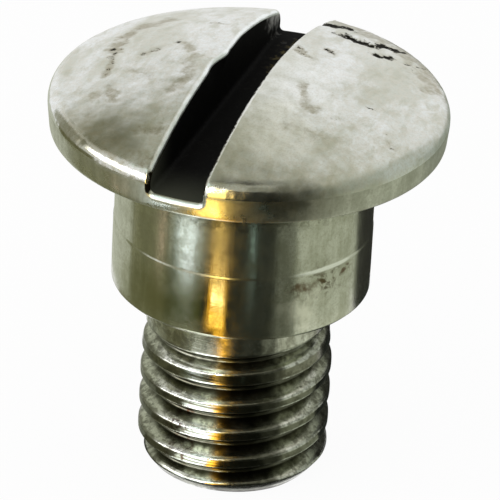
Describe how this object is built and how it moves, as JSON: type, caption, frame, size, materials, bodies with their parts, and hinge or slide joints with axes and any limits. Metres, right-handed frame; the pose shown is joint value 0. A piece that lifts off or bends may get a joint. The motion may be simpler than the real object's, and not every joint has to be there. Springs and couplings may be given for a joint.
{
  "type": "slotted shoulder screw",
  "caption": "Turned steel slotted screw with a low domed head, a plain round shoulder, a short neck and a right-hand machine thread with a chamfered end.",
  "frame": {"origin": "centre of the flat end of the thread, on the screw's axis", "axes": "+Z along the axis from the thread's end to the head, Y along the slot"},
  "size_m": [0.01, 0.0098, 0.0111],
  "materials": {
    "screw_steel": "satin turned steel, used, with a domed head that is brushed and marked"
  },
  "bodies": {
    "root": {"slotted_screw": "screw_steel"}
  },
  "joints": []
}
